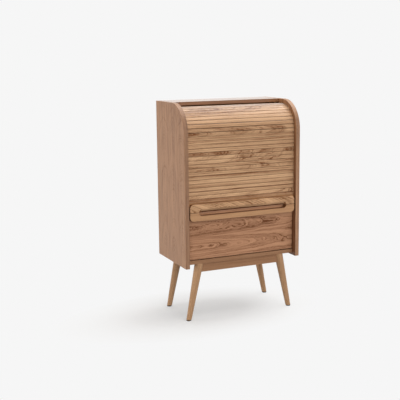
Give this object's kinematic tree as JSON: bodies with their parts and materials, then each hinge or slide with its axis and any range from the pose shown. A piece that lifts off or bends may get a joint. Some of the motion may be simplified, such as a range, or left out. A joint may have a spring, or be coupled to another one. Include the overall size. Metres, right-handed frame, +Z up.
{
  "type": "binder cabinet",
  "caption": "Free-standing binder cabinet: a slatted roll-up shutter with a rounded top over a drawer, with a split handle, on splayed tapered legs.",
  "frame": {"origin": "on the floor, under the middle of the cabinet", "axes": "+Z up, +X to the right seen from the front, -Y towards the front"},
  "size_m": [0.645, 0.37, 1.1],
  "materials": {
    "side_veneer": "oiled oak veneer, vertical grain",
    "top_veneer": "oiled oak veneer, grain along the width",
    "slat_wood": "oiled oak slats, grain along the width",
    "handle_wood": "oiled solid oak",
    "drawer_veneer": "oiled oak veneer, grain along the width",
    "leg_wood": "oiled solid oak, grain along the leg",
    "inner_board": "oak veneered board",
    "drawer_box": "pale birch plywood",
    "back_board": "thin veneered board",
    "dowel_wood": "bare beech",
    "canvas": "woven cotton backing",
    "steel": "zinc plated",
    "zinc": "die cast",
    "glide_plastic": "dark moulded",
    "bumper_rubber": "soft matt"
  },
  "bodies": {
    "carcass": {"apron_back": "leg_wood", "apron_blocks": "dowel_wood", "apron_dowels": "dowel_wood", "apron_front": "leg_wood", "back_panel": "back_board", "back_screws": "steel", "bottom_panel": "top_veneer", "cam_bolts": "steel", "cam_housings": "zinc", "divider_shelf": "inner_board", "drawer_bumpers": "bumper_rubber", "fixed_canvas": "canvas", "fixed_slats": "slat_wood", "front_canvas": "canvas", "front_slats": "slat_wood", "inner_liner": "inner_board", "leg_back_left": "leg_wood", "leg_back_right": "leg_wood", "leg_front_left": "leg_wood", "leg_front_right": "leg_wood", "leg_glides": "glide_plastic", "leg_screws": "steel", "panel_dowels": "dowel_wood", "runner_outer_left": "steel", "runner_outer_right": "steel", "runner_screws": "steel", "shutter_stops": "inner_board", "side_left": "side_veneer", "side_right": "side_veneer", "top_panel": "top_veneer"},
    "shutter": {"lead_rail": "slat_wood", "shutter_handle": "handle_wood", "shutter_handle_screws": "steel"},
    "drawer": {"drawer_front": "drawer_veneer", "drawer_handle": "handle_wood", "drawer_handle_screws": "steel", "drawer_side_left": "drawer_box", "drawer_side_right": "drawer_box", "drawer_back": "drawer_box", "drawer_bottom": "back_board", "drawer_dowels": "dowel_wood", "runner_inner_left": "steel", "runner_inner_right": "steel", "runner_drawer_screws": "steel"},
    "runner_middle": {"runner_middle_left": "steel", "runner_middle_right": "steel"},
    "cages_outer": {"ball_cages_outer": "steel"},
    "cages_inner": {"ball_cages_inner": "steel"}
  },
  "joints": [
    {"name": "shutter_slide", "type": "slide", "parent": "carcass", "child": "shutter", "axis": [0, 0, 1], "range_m": [0, 0.3298], "deforming": ["front_slats", "front_canvas"]},
    {"name": "drawer_slide", "type": "slide", "parent": "carcass", "child": "drawer", "axis": [0, -1, 0], "range_m": [0, 0.26]},
    {"name": "runner_middle_slide", "type": "slide", "parent": "carcass", "child": "runner_middle", "axis": [0, -1, 0], "range_m": [0, 0.1301]},
    {"name": "cages_outer_slide", "type": "slide", "parent": "carcass", "child": "cages_outer", "axis": [0, -1, 0], "range_m": [0, 0.0651]},
    {"name": "cages_inner_slide", "type": "slide", "parent": "carcass", "child": "cages_inner", "axis": [0, -1, 0], "range_m": [0, 0.1951]}
  ],
  "couplings": [
    {"joint": "runner_middle_slide", "follows": "drawer_slide", "ratio": 0.5},
    {"joint": "cages_outer_slide", "follows": "drawer_slide", "ratio": 0.25},
    {"joint": "cages_inner_slide", "follows": "drawer_slide", "ratio": 0.75}
  ]
}
